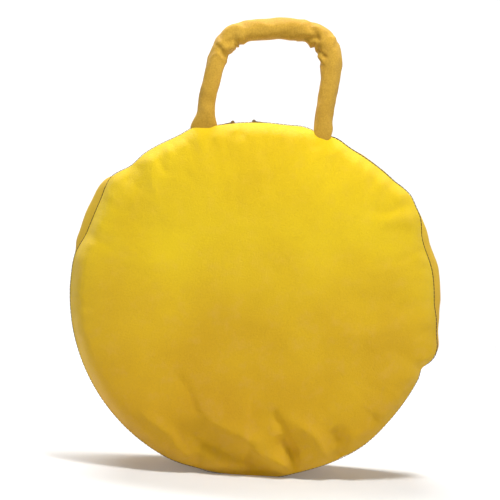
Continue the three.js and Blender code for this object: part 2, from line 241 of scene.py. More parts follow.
# Folds pressed into the front panel, in millimetres from its centre: start, end, half
# width, height (below zero for a valley), and how far the crest leans to one side.
FOLDS = [
    ((-95, -120), (-52, -163), 5, 3.8, 0.0), ((-66, -136), (-38, -170), 6, -5.0, 0.0),
    ((-41, -115), (4, -141), 8, 5.5, -0.3), ((4, -141), (47, -172), 10, 9.0, -0.3),
    ((-52, -134), (18, -174), 17, -10.0, 0.0), ((30, -113), (37, -140), 4, -4.0, 0.0),
    ((38, -140), (52, -168), 9, -10.0, 0.3), ((50, -119), (82, -152), 8, 5.5, 0.3),
    ((83, -131), (99, -151), 8, -6.0, 0.0), ((118, -118), (128, -112), 4, -2.6, 0.0),
    ((-68, -86), (-43, -115), 3, -2.6, 0.0), ((-43, -115), (-28, -119), 3, -2.0, 0.0),
    ((-105, 126), (-88, 115), 3, -2.0, 0.0), ((-124, 115), (-116, 96), 4, -2.2, 0.0),
    ((-112, 112), (-100, 98), 5, 1.0, 0.0), ((-49, 141), (-42, 132), 2.5, -1.3, 0.0),
    ((-132, 118), (-126, 104), 4, -2.6, 0.0), ((150, 96), (108, 88), 4, -2.6, 0.0),
    ((148, 88), (118, 78), 7, 1.4, 0.0), ((-30, 150), (-22, 160), 4, -1.6, 0.0),
    ((52, 146), (60, 158), 5, -2.2, 0.0), ((60, 40), (130, 70), 26, -2.4, 0.0),
    ((-150, 30), (-110, 70), 24, -2.8, 0.0), ((-130, -60), (-80, -20), 30, 2.0, 0.0),
    ((90, -10), (140, 10), 24, -2.2, 0.0), ((70, -40), (125, -22), 14, 1.8, 0.0),
]
NARROW_FOLD = 20  # folds narrower than this are pressed in sharper
FOLD_GAIN = 1.15


def folds(x, z):
    """Height of the pressed folds at each point of the front panel."""
    total = np.zeros_like(x)
    for (x0, z0), (x1, z1), width, height, lean in FOLDS:
        dx, dz = x1 - x0, z1 - z0
        long = math.hypot(dx, dz)
        t = ((x - x0) * dx + (z - z0) * dz) / long ** 2
        across = ((x - x0) * dz - (z - z0) * dx) / long
        across = across + 3.0 * np.sin(t * 4.0 + x0)
        wide = width * np.where(across > 0, 1 + lean, 1 - lean)
        along = smooth_step(-0.35, 0.25, t) * (1 - smooth_step(0.75, 1.35, t))
        gain, sharp = (FOLD_GAIN, 1.2) if width < NARROW_FOLD else (1.0, 2)
        total += gain * height * along * np.exp(-np.abs(across / wide) ** sharp)
    return total


CLOTH_PRESSURE = 5.0
CLOTH_SLACK = 0.012  # how much larger the cloth is cut than the shape it is pinned to
CLOTH_FRAMES = 24


def inflate(name, points, faces, pinned):
    """Swell a pinned sheet with Cloth, and give back where its points come to rest."""
    sheet = make(name, points, faces)
    group = sheet.vertex_groups.new(name="pin")
    group.add([int(i) for i in np.nonzero(pinned)[0]], 1.0, "REPLACE")
    modifier = sheet.modifiers.new("cloth", "CLOTH")
    settings = modifier.settings
    settings.vertex_group_mass = "pin"
    settings.quality = 6
    settings.mass = 0.2
    settings.tension_stiffness = settings.compression_stiffness = 18
    settings.shear_stiffness = 8
    settings.bending_stiffness = 0.6
    settings.use_pressure = True
    settings.use_pressure_volume = True
    settings.target_volume = 0.0
    settings.uniform_pressure_force = CLOTH_PRESSURE
    settings.shrink_min = settings.shrink_max = -CLOTH_SLACK
    settings.effector_weights.gravity = 0
    modifier.collision_settings.use_collision = False
    modifier.collision_settings.use_self_collision = False
    scene = bpy.context.scene
    modifier.point_cache.frame_start = 1
    modifier.point_cache.frame_end = CLOTH_FRAMES
    for f in range(1, CLOTH_FRAMES + 1):
        scene.frame_set(f)
    graph = bpy.context.evaluated_depsgraph_get()
    evaluated = sheet.evaluated_get(graph).to_mesh()
    rest = np.array([v.co[:] for v in evaluated.vertices]) / MM
    sheet.evaluated_get(graph).to_mesh_clear()
    scene.frame_set(1)
    bpy.data.objects.remove(sheet)
    return rest


SETTLED = 9.0  # how much fuller the front is where the foam has settled
EDGE_ROLL = 5.5  # how far the cloth turns over in the panel's last few millimetres
PUCKERS = 57  # gives the gathers round the edge


def panel_layout(side):
    s, a, faces = disc_grid(PANEL_RINGS)
    inset = seam_inset(a) if side < 0 else PLAIN_INSET
    radius = outline(a) * s + (edge_share(side) * bump(a) - inset) * s ** 6
    return s, a, faces, radius


def panel_surface(name, side):
    """The outer face of a stuffed panel: the simulated crown plus its own folds."""
    s, a, faces, radius = panel_layout(side)
    grain = rumple(place(a, radius, 0 * s), 30, 3 + side)
    crown = CROWN * (1 - s ** 2)
    points = place(a, radius, side * (RIM_Y + 0.7 * crown + 0.8 * grain * (1 - s)))
    rest = inflate(name + "_sim", points, faces, s > 0.999)
    lift = side * rest[:, 1] - RIM_Y
    lift *= CROWN / max(lift[s < 0.1].mean(), 1.0)
    points[:, 0] += np.clip(rest[:, 0] - points[:, 0], -3, 3)
    points[:, 2] += np.clip(rest[:, 2] - points[:, 2], -3, 3)
    lift = np.clip(lift, 0, CROWN + 5)
    # The foam has settled low on one side, so the front is fuller there.
    if side < 0:
        settled = window(a, -170, -78, 26) * smooth_step(0.3, 0.88, s)
        lift = lift + SETTLED * settled * (1 - np.clip((s - 0.9) / 0.1, 0, 1) ** 2)
    # The cloth turns over more steeply in its last few millimetres, and gathers there.
    lift = lift + EDGE_ROLL * (1 - np.clip((s - 0.92) / 0.08, 0, 1) ** 2.0)
    pucker = np.sin(np.radians(a) * PUCKERS + 5 * rumple(place(a, radius, 0 * s), 60, 8))
    lift += 0.45 * pucker * smooth_step(0.86, 0.95, s) * (1 - smooth_step(0.975, 1.0, s))
    if side < 0:
        fade = 1 - smooth_step(0.985, 1.0, s) * 0.6
        lift += folds(points[:, 0], points[:, 2] - BODY_Z) * fade
    else:
        wide = place(a, radius, 0 * s)
        lift += (1.6 * rumple(wide, 70, 21) * (1 - s ** 4)
                 + 0.7 * rumple(wide, 26, 22) * (1 - s ** 6))
    lift += 0.35 * rumple(points, 11, 12) * (1 - s ** 8)
    points[:, 1] = side * (RIM_Y + lift)
    return s, faces, points


def shell(name, front, faces, rim, thick, side, turned=()):
    """A sheet with its thickness, closed round the rim; turned rings tuck the edge in."""
    count = len(front)
    back = front.copy()
    back[:, 1] -= side * thick
    points = [front, back]
    all_faces = list(faces) + [tuple(reversed([i + count for i in face])) for face in faces]
    total = 2 * count
    previous = list(rim)
    for grow, drop in turned:
        ring = front[rim].copy()
        ring += outward(ring, BODY_Z) * grow
        ring[:, 1] -= side * drop
        points.append(ring)
        here = list(range(total, total + len(rim)))
        total += len(rim)
        for i in range(len(rim)):
            j = (i + 1) % len(rim)
            all_faces.append((previous[i], previous[j], here[j], here[i]))
        previous = here
    last = [i + count for i in rim]
    for i in range(len(rim)):
        j = (i + 1) % len(rim)
        all_faces.append((previous[i], previous[j], last[j], last[i]))
    return make(name, np.concatenate(points), all_faces)


# The panel's edge turned under: how far out, and how far down from its face, each ring lies.
TUCK = [(0.9, 0.7), (1.3, 2.0), (0.9, 3.5), (-1.0, 4.7)]


# Under the cloth: how far below it each layer lies, its thickness, and how much smaller it is.
PANEL_LAYERS = [("foam", 1.8, 3.4, 4.5), ("lining", 5.7, 0.5, 7.0)]


def build_panel(side, word):
    s, faces, points = panel_surface(word, side)
    rim = [i for i in range(len(s)) if s[i] > 0.999]
    panel = shell(f"{word}_panel_cloth", points, faces, rim, CLOTH, side, TUCK)
    subdivide(panel)
    # Foam and lining follow the panel's own dents, so nothing pokes through.
    depth = side * points[:, 1]
    corners = np.array(faces)
    for _ in range(2):
        lowest = depth.copy()
        for i, j in ((0, 1), (1, 2), (2, 0)):
            np.minimum.at(lowest, corners[:, i], depth[corners[:, j]])
            np.minimum.at(lowest, corners[:, j], depth[corners[:, i]])
        depth = lowest
    inside = points.copy()
    inside[:, 1] = side * depth
    made = [panel]
    for layer, gap, thick, narrow in PANEL_LAYERS:
        sheet = inside.copy()
        sheet[:, 0] *= 1 - narrow / BODY_R
        sheet[:, 2] = BODY_Z + (sheet[:, 2] - BODY_Z) * (1 - narrow / BODY_R)
        sheet[:, 1] -= side * gap
        made.append(shell(f"{word}_{layer}_sheet", sheet, faces, rim, thick, side))
    return made


# ------------------------------------------------------------------ gusset and zip bands
def cross_section(low_y, high_y, steps, rise, thick):
    """A closed ring of (y, height): the outer face one way, the inner face back."""
    ys = np.linspace(low_y, high_y, steps)
    top = np.array([rise(y) for y in ys])
    outer = np.stack([ys, top], axis=1)
    inner = np.stack([ys, top - thick], axis=1)[::-1]
    return np.concatenate([outer, inner])


# How far each swells between its seams, and drops where its edges tuck in.
GUSSET_SWELL, GUSSET_TUCK = 1.9, 4.2
STRIP_SWELL, STRIP_TUCK = 0.7, 3.8
STRIP_EDGE = 8  # the strips stop this far either side of the zip's middle
TAPE_Y = (1, 16)  # each tape's two edges


def gusset_rise(y):
    """Height of the gusset's outer face across its width."""
    y = abs(y)
    tuck = float(smooth_step(36, SEAM_Y, y))
    swell = GUSSET_SWELL * math.sin(math.pi * min(y / 44, 1)) ** 0.8
    return swell + 0.6 - GUSSET_TUCK * tuck ** 2


def bump_share(y):
    y = np.asarray(y, dtype=float)
    return smooth_step(8, 34, np.abs(y)) * np.where(y < 0, 1.0, BACK_SHARE)


def gusset_sections(depth, low_y, high_y, steps, thick, angles, full=True):
    """Rings round the lower gusset, at a depth under its outline; only the cloth is full."""
    section = cross_section(low_y, high_y, steps, gusset_rise if full else (lambda y: 0), thick)
    y, h = section[:, 0], section[:, 1]
    rings = []
    for a in angles:
        pulled = window(a, 66, 100, 8) + window(a, -75, -58, 6)
        proud = 2.4 * pulled * smooth_step(10, 34, np.abs(y))
        share = 0.25 + 0.75 * smooth_step(4, 34, np.abs(y)) * np.where(y < 0, 1, 0.4)
        if full:
            past_corner = abs(abs(turn(a)) - CORNER + 1.0)
            h = section[:, 1] - 1.6 * (1 - smooth_step(0, 2.0, past_corner))
        tuck = float(seam_inset(a)) * smooth_step(-38, -SEAM_Y, y) if full else 0
        radius = outline(a) - depth + h + bump(a) * share + proud * (y < 0) - tuck
        rings.append(place(np.full_like(y, a), radius, y))
    rings = np.array(rings)
    flat = rings.reshape(-1, 3)
    if full:
        wrinkle = 0.9 * rumple(flat * (1, 0.35, 1), 16, 31) + 0.5 * rumple(flat, 7, 32)
        flat += outward(flat, BODY_Z) * wrinkle[:, None]
    flat[:, 2] = np.maximum(flat[:, 2], depth)
    return flat.reshape(rings.shape)


def zip_sections(low_y, high_y, steps, rise, thick, span, count, wrinkle=0.0):
    """Rings along the zip's arc; wrinkled cloth also follows the bumps in the outline."""
    section = cross_section(low_y, high_y, steps, rise, thick)
    y, h = section[:, 0], section[:, 1]
    rings = []
    for b in np.linspace(-span, span, count):
        r = math.radians(b)
        x, z = ZIP_R * math.sin(r), ZIP_Z + ZIP_R * math.cos(r)
        a = math.degrees(math.atan2(x, z - BODY_Z))
        radius = ZIP_R + h
        if wrinkle:
            tuck = float(seam_inset(a)) * smooth_step(-38, -SEAM_Y, y)
            radius = radius + bump(a) * bump_share(y) - tuck
        rings.append(np.stack([radius * math.sin(r), y, ZIP_Z + radius * math.cos(r)], axis=-1))
    rings = np.array(rings)
    if wrinkle:
        flat = rings.reshape(-1, 3)
        amount = wrinkle * rumple(flat * (1, 0.4, 1), 13, 41)
        amount *= smooth_step(14, 26, np.abs(flat[:, 1]))
        flat += outward(flat, ZIP_Z) * amount[:, None]
        rings = flat.reshape(rings.shape)
    return rings


def strip_rise(y):
    """Height of a zip strip's outer face across its width."""
    y = abs(y)
    if y < 16:
        return 0.0
    tuck = float(smooth_step(37, SEAM_Y, y))
    return STRIP_SWELL * math.sin(math.pi * (y - 16) / 34) - STRIP_TUCK * tuck ** 2


def build_gusset():
    angles = np.linspace(CORNER - 1.0, 360 - CORNER + 1.0, 192)
    cloth = loft("gusset_cloth", gusset_sections(0, -SEAM_Y, SEAM_Y, 19, CLOTH, angles))
    subdivide(cloth)
    fewer = np.linspace(CORNER + 1.0, 360 - CORNER - 1.0, 120)
    foam = loft("gusset_foam_sheet", gusset_sections(3.2, -35, 38, 9, 3.2, fewer, False))
    lining = loft("gusset_lining_sheet", gusset_sections(6.8, -36, 38, 9, 0.5, fewer, False))
    return cloth, foam, lining


def build_strips():
    made = []
    for word, side in (("front", -1), ("rear", 1)):
        low, high = sorted((side * STRIP_EDGE, side * SEAM_Y))
        strip = loft(f"zip_strip_{word}_cloth",
                     zip_sections(low, high, 14, strip_rise, CLOTH, ZIP_CORNER + 0.5, 112, 0.9))
        subdivide(strip)
        low, high = sorted(side * y for y in TAPE_Y)
        tape = loft(f"zip_tape_{word}_woven",
                    zip_sections(low, high, 7, lambda y: -1.6, 1.0, 44.7, 120))
        made.append((strip, tape))
    return made


# ------------------------------------------------------------------ seam bindings
BINDING_FACES = (39.2, 41.7)  # the two sides of the flange, along y
BINDING_ROOT = 7.2  # how far inside the outline it starts
BINDING_MIDDLE = 3.9  # from there to its middle
BINDING_HALF = 3.8  # half its height


def build_binding(word, side):
    """The bound seam allowance: a rounded flange that follows the whole outline."""
    low, high = BINDING_FACES
    middle, half = (low + high) / 2, (high - low) / 2
    sections = []
    for a in np.linspace(-180, 180, 241)[:-1]:
        wave = 0.5 * math.sin(a * 0.9) + 0.4 * noise.noise(Vector((a * 0.15, 3.0 * side, 0)))
        edge = float(outline(a)) - BINDING_ROOT + edge_share(side) * min(float(bump(a)), 0)
        ring = []
        for k in range(10):
            t = 2 * math.pi * k / 10
            y = side * (middle + half * math.cos(t) * (1 + 0.1 * wave))
            blunt = 1 if abs(math.sin(t)) < 0.99 else 0.97
            radius = edge - BINDING_MIDDLE - BINDING_HALF * math.sin(t) * blunt
            ring.append((radius * math.sin(math.radians(a)), y,
                         BODY_Z + radius * math.cos(math.radians(a))))
        sections.append(ring)
    return loft(f"{word}_seam_binding_tape", sections, around=True)


# ------------------------------------------------------------------ handle
# Points along the handle's centre line (x, z), and the tube's radius at each.
HANDLE_LINE = [
    (-59.5, 333), (-58.4, 342), (-57.5, 351), (-57.3, 364), (-54, 389), (-48.5, 411),
    (-38, 426.5), (-22, 433.5), (-4, 437), (14, 439), (36, 437), (51, 430), (59.8, 414),
    (61.5, 392), (59.5, 372), (57.5, 352), (57.2, 340), (57.0, 326),
]
HANDLE_SIZE = [
    13.2, 12.2, 9.4, 8.7, 8.9, 10.0, 11.0, 10.8, 10.6, 10.8, 11.2, 11.8, 11.6, 9.9, 9.0,
    8.8, 9.0, 3.5,
]
HANDLE_MIDDLE = (0, 395)  # inside the loop, to tell outwards from inwards
GATHERS = [(-41, 423, 27), (50, 428, 30)]  # where the sleeve is bunched up: x, z, reach
# The left foot goes in behind the panel's edge, and the right one lies over it.
FOOT_SHIFT = {False: 3.0, True: -3.4}
FOOT_TOP = 344  # where the flattened feet end and the stuffing starts


def catmull(points, step):
    """A smooth line through the points, with a point about every step."""
    points = np.array(points, dtype=float)
    padded = np.vstack([2 * points[0] - points[1], points, 2 * points[-1] - points[-2]])
    line = []
    for i in range(len(points) - 1):
        p0, p1, p2, p3 = padded[i:i + 4]
        pieces = max(2, int(np.linalg.norm((p2 - p1)[:2]) / step))
        for k in range(pieces):
            t = k / pieces
            line.append(0.5 * (2 * p1 + (p2 - p0) * t + (2 * p0 - 5 * p1 + 4 * p2 - p3) * t ** 2
                               + (3 * p1 - p0 - 3 * p2 + p3) * t ** 3))
    line.append(points[-1])
    return np.array(line)


def creased(radius, d, t, gather):
    """The sleeve's radius with its creases, by distance along the handle and angle round it."""
    inner = max(0.0, -math.cos(t)) ** 0.7
    front = 0.5 + 0.5 * max(0.0, -math.sin(t))
    sway = noise.noise(Vector((d * 0.05, math.cos(t), math.sin(t))))
    # Bunched cloth inside the bend and over the front of it.
    radius += 1.5 * gather * inner * math.sin(d * 0.52 + 7 * sway + 2.2 * math.sin(t))
    radius += 1.3 * gather * front * math.sin(d * 0.38 + 2.4 * t + 5 * sway)
    # Sharp creases, deepest where the cloth is bunched.
    crease = max(0.0, 1 - 2.4 * abs(math.sin(d * 0.16 + 1.1 * math.sin(t) + 3.2 * sway)))
    radius -= (0.5 + 2.0 * gather) * front * crease ** 1.3
    # Slow waves and lumps all along it.
    radius += 0.9 * math.sin(d * 0.07 + t + 2 * sway) * front
    radius += 0.7 * noise.noise(Vector((d * 0.11, 1.4 * math.cos(t), 1.4 * math.sin(t))))
    return radius


def handle_sections(shrink, wrinkled, sides, step):
    """Rings along the handle, a given amount thinner than the sleeve."""
    line = catmull([(x, z, r) for (x, z), r in zip(HANDLE_LINE, HANDLE_SIZE)], step)
    ahead = np.gradient(line[:, :2], axis=0)
    ahead /= np.linalg.norm(ahead, axis=1)[:, None]
    steps = np.linalg.norm(np.diff(line[:, :2], axis=0), axis=1)
    travelled = np.concatenate([[0], np.cumsum(steps)])
    sections = []
    for (x, z, r), (tx, tz), d in zip(line, ahead, travelled):
        out = np.array([-tz, tx])
        if np.dot(out, np.array([x, z]) - HANDLE_MIDDLE) < 0:
            out = -out
        foot = float(1 - smooth_step(334, 356, z))
        y_mid = HANDLE_Y + FOOT_SHIFT[x > 0] * foot
        near = [max(0.0, 1 - math.hypot(x - at_x, z - at_z) / reach)
                for at_x, at_z, reach in GATHERS]
        gather = min(1.0, 1.6 * max(near))
        ring = []
        for k in range(sides):
            t = 2 * math.pi * k / sides
            radius = r - shrink
            if wrinkled:
                radius = creased(radius, d, t, gather)
            radius = max(radius, 1.5)
            across = radius * math.cos(t)
            deep = radius * math.sin(t) * (1 - (0.68 if x > 0 else 0.5) * foot)
            ring.append((x + out[0] * across, y_mid + deep, z + out[1] * across))
        sections.append(ring)
    return sections


def build_handle():
    sleeve = loft("handle_sleeve_cloth", handle_sections(0, True, 28, 2.0))
    subdivide(sleeve)
    # The stuffing stops short of the flattened feet, which are sewn down empty.
    stuffed = [ring for ring in handle_sections(4.0, False, 14, 5.0)
               if min(z for _, _, z in ring) > FOOT_TOP]
    core = loft("handle_stuffing", stuffed)
    return sleeve, core


def squarish(value):
    """A sine or cosine swollen so that the circle it draws comes nearer to a box."""
    return math.copysign(abs(value) ** 0.6, value)


def build_handle_end(word, side):
    """The flattened end of the leg, folded under and sewn down over the seam."""
    low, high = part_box(f"handle_end_{word}")
    low, high = np.array(low) / MM, np.array(high) / MM
    x_mid = (low[0] + high[0]) / 2
    sections = []
    for t in np.linspace(0, 1, 10):
        z = high[2] - (high[2] - low[2]) * t
        wide = (high[0] - low[0]) / 2 * (0.72 + 0.08 * math.sin(5 * t))
        y_mid = HANDLE_Y + FOOT_SHIFT[side > 0]
        ring = []
        for k in range(20):
            u = 2 * math.pi * k / 20
            x = x_mid + wide * squarish(math.cos(u))
            y = y_mid + 2.6 * squarish(math.sin(u)) * (0.9 - 0.25 * t)
            ring.append((x, y, z))
        sections.append(ring)
    return loft(f"handle_end_{word}_sewn", sections)


PATCH_Y = -39.6  # the patches' outer face, carried on to the panel's rim
PATCH_CROWN = 22  # how far that face would stand past there at the panel's middle
PATCH_THICK = 0.9


def build_patch(word):
    low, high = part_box(f"handle_patch_{word}")
    low, high = np.array(low) / MM, np.array(high) / MM
    xs, zs = np.linspace(low[0], high[0], 13), np.linspace(low[2], high[2], 15)
    radius = np.hypot(*np.meshgrid(xs, zs - BODY_Z, indexing="ij")) / BODY_R
    front = np.zeros((len(xs), len(zs), 3))
    for i, x in enumerate(xs):
        for j, z in enumerate(zs):
            y = PATCH_Y - PATCH_CROWN * (1 - radius[i, j] ** 2) + 0.25 * math.sin(i * 1.7 + j)
            front[i, j] = (x, y, z)
    back = front + (0, PATCH_THICK, 0)
    n, m = len(xs), len(zs)
    faces = []

    def index(f, i, j):
        return f * n * m + i * m + j

    for i in range(n - 1):
        for j in range(m - 1):
            corners = ((i, j), (i + 1, j), (i + 1, j + 1), (i, j + 1))
            faces.append(tuple(index(0, *corner) for corner in corners))
            faces.append(tuple(index(1, *corner) for corner in reversed(corners)))
    edge = ([(i, 0) for i in range(n)]
            + [(n - 1, j) for j in range(1, m)]
            + [(i, m - 1) for i in range(n - 2, -1, -1)]
            + [(0, j) for j in range(m - 2, 0, -1)])
    for (i, j), (k, l) in zip(edge, edge[1:] + edge[:1]):
        faces.append((index(0, i, j), index(0, k, l), index(1, k, l), index(1, i, j)))
    points = np.concatenate([front.reshape(-1, 3), back.reshape(-1, 3)])
    return make(f"handle_patch_{word}_cloth", points, faces)


# ------------------------------------------------------------------ zip parts
def build_coil(word, side):
    """Nylon monofilament wound into a flattened helix along the zip."""
    turns, per_turn, sides = 190, 9, 5
    wire = 0.35
    middle, half = 2.45 * side, 1.35
    low, high = -1.4, 1.0
    centre, tall = (low + high) / 2, (high - low) / 2 - wire
    total = turns * per_turn
    span = 43.6  # degrees each way from the top
    sections = []
    for i in range(total + 1):
        b = math.radians(-span + 2 * span * i / total)
        phase = 2 * math.pi * i / per_turn
        y = middle + half * math.cos(phase)
        h = centre + tall * math.sin(phase)
        along = np.array([math.cos(b), 0, -math.sin(b)])
        up = np.array([math.sin(b), 0, math.cos(b)])
        point = np.array([0, y, ZIP_Z]) + up * (ZIP_R + h)
        tangent = (np.array([0, -half * math.sin(phase), 0]) + up * (tall * math.cos(phase))
                   + along * 0.25)
        tangent /= np.linalg.norm(tangent)
        first = along - tangent * np.dot(along, tangent)
        first /= np.linalg.norm(first)
        second = np.cross(tangent, first)
        sections.append([point + wire * (first * math.cos(q) + second * math.sin(q))
                         for q in np.linspace(0, 2 * math.pi, sides, endpoint=False)])
    return loft(f"zip_coil_{word}_wound", sections)


TAB_SPAN = (44.8, 48.6)  # degrees along the zip's arc
TAB_HALF = 13


def build_end_tab(word, side):
    """A folded cloth tab over the end of the zip."""
    section = cross_section(-TAB_HALF, TAB_HALF, 11,
                            lambda y: 1.5 - 0.5 * (abs(y) / TAB_HALF) ** 4, 1.0)
    sections = []
    for b in np.linspace(*TAB_SPAN, 10):
        ring = []
        r = math.radians(b)
        base = np.array([ZIP_R * math.sin(r), ZIP_Z + ZIP_R * math.cos(r)])
        away = base - np.array([0, BODY_Z])
        reach = float(outline(math.degrees(math.atan2(away[0], away[1]))))
        away /= np.linalg.norm(away)
        for y, h in section:
            p = away * (reach + h + 0.12 * math.sin(y * 1.3 + b))
            ring.append((side * p[0], y, BODY_Z + p[1]))
        sections.append(ring)
    return loft(f"zip_end_tab_{word}_cloth", sections)


def bevelled(node, name, width):
    """The CAD shape with its sharp edges eased."""
    piece = bpy.data.objects.new(name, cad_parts[node].data.copy())
    bpy.context.collection.objects.link(piece)
    weld = piece.modifiers.new("weld", "WELD")
    weld.merge_threshold = 0.00001
    bevel = piece.modifiers.new("bevel", "BEVEL")
    bevel.width = width * MM
    bevel.segments = 2
    bevel.limit_method = "ANGLE"
    bevel.angle_limit = math.radians(35)
    apply_modifiers(piece)
    piece.data.materials.clear()
    return piece


# ------------------------------------------------------------------ stitches
def stitch_row(name, points, normals, long=3.0, gap=1.4, thick=0.32):
    """Thread lying on a surface along a line, dipping into it between stitches."""
    points, normals = np.array(points), np.array(normals)
    thick = np.broadcast_to(thick, len(points))
    step = np.linalg.norm(np.diff(points, axis=0), axis=1)
    travelled = np.concatenate([[0], np.cumsum(step)])
    verts, faces = [], []
    rows, sides = 5, 5
    at = 0.8
    while at + long < travelled[-1]:
        base = len(verts)
        for i in range(rows):
            d = at + long * i / (rows - 1)
            p = np.array([np.interp(d, travelled, points[:, k]) for k in range(3)])
            q = np.array([np.interp(d + 0.2, travelled, points[:, k]) for k in range(3)])
            n = np.array([np.interp(d, travelled, normals[:, k]) for k in range(3)])
            n /= np.linalg.norm(n)
            t = (q - p) / max(np.linalg.norm(q - p), 1e-9)
            w = np.cross(t, n)
            lift = 0.18 * math.sin(math.pi * i / (rows - 1)) - 0.12
            r = np.interp(d, travelled, thick)
            for k in range(sides):
                u = 2 * math.pi * k / sides
                verts.append(p + n * (lift + r * math.sin(u)) + w * r * math.cos(u))
        for i in range(rows - 1):
            for k in range(sides):
                m = (k + 1) % sides
                here, after = base + i * sides, base + (i + 1) * sides
                faces.append((here + k, here + m, after + m, after + k))
        faces.append(tuple(base + k for k in reversed(range(sides))))
        faces.append(tuple(base + (rows - 1) * sides + k for k in range(sides)))
        at += long + gap
    return make(name, verts, faces)


TOPSTITCH_SPAN = 45.5  # degrees along the zip's arc, each way from the top
TOPSTITCH_Y = 10.5
SEAM_THREAD_Y = 44.7
SEAM_THREAD_OUT = 1.7  # how far past the panel's edge it lies


def zip_stitches(word, side):
    """The row of topstitching along a zip strip."""
    points, normals = [], []
    for b in np.linspace(-TOPSTITCH_SPAN, TOPSTITCH_SPAN, 220):
        r = math.radians(b)
        up = np.array([math.sin(r), 0, math.cos(r)])
        points.append(np.array([0, side * TOPSTITCH_Y, ZIP_Z]) + up * (ZIP_R + 0.05))
        normals.append(up)
    return stitch_row(f"zip_strip_{word}_topstitch", points, normals)


def seam_shadow_thread(word, side):
    """The lockstitch down in the groove where the panel meets the gusset; its dark line is
    partly real thread and partly painted shadow of the groove.
    """
    angles = np.linspace(-179.5, 179.5, 900)
    inset = seam_inset(angles) if side < 0 else PLAIN_INSET
    edge = outline(angles) + edge_share(side) * bump(angles) - inset
    points = place(angles, edge + SEAM_THREAD_OUT, np.full_like(angles, side * SEAM_THREAD_Y))
    points[:, 2] = np.maximum(points[:, 2], 0.6)
    normals = np.tile(np.array([0.0, side, 0.0]), (len(angles), 1))
    # The thread is drawn thicker where the seam gapes beside the zip and down the right-hand
    # side, so that its dark line stands in for the shadow in the gap: painted shadow.
    thick = 0.3 + 0.45 * window(angles, 24, 48, 6) + 0.2 * window(angles, 60, 104, 8)
    return stitch_row(f"{word}_seam_shadow_thread", points, normals, long=3.4, gap=0.4, thick=thick)


# ------------------------------------------------------------------ materials
def tree_of(name):
    material = bpy.data.materials.new(name)
    material.use_nodes = True
    nodes, links = material.node_tree.nodes, material.node_tree.links
    return material, nodes, links, nodes["Principled BSDF"]


def ramp(nodes, stops):
    node = nodes.new("ShaderNodeValToRGB")
    elements = node.color_ramp.elements
    while len(elements) < len(stops):
        elements.new(0.5)
    for element, (at, colour) in zip(elements, stops):
        element.position = at
        element.color = (*colour, 1)
    return node


def object_place(nodes):
    return nodes.new("ShaderNodeTexCoord").outputs["Object"]


def map_range(nodes, links, value, to_low, to_high, from_low=0.0, from_high=1.0):
    node = nodes.new("ShaderNodeMapRange")
    node.inputs["From Min"].default_value = from_low
    node.inputs["From Max"].default_value = from_high
    node.inputs["To Min"].default_value = to_low
    node.inputs["To Max"].default_value = to_high
    links.new(value, node.inputs["Value"])
    return node.outputs["Result"]


def shade_with(nodes, links, shader, value, stops):
    """Colour the material by a ramp read at a value."""
    colours = ramp(nodes, stops)
    links.new(value, colours.inputs["Fac"])
    links.new(colours.outputs["Color"], shader.inputs["Base Color"])


def add_bumps(nodes, links, shader, height, strength, distance):
    bumps = nodes.new("ShaderNodeBump")
    bumps.inputs["Strength"].default_value = strength
    bumps.inputs["Distance"].default_value = distance
    links.new(height, bumps.inputs["Height"])
    links.new(bumps.outputs["Normal"], shader.inputs["Normal"])


PAINTED_SHADE_HEIGHTS = (0.10, 0.28)  # metres up, between which the painted shade (a darker, warmer colour) fades away
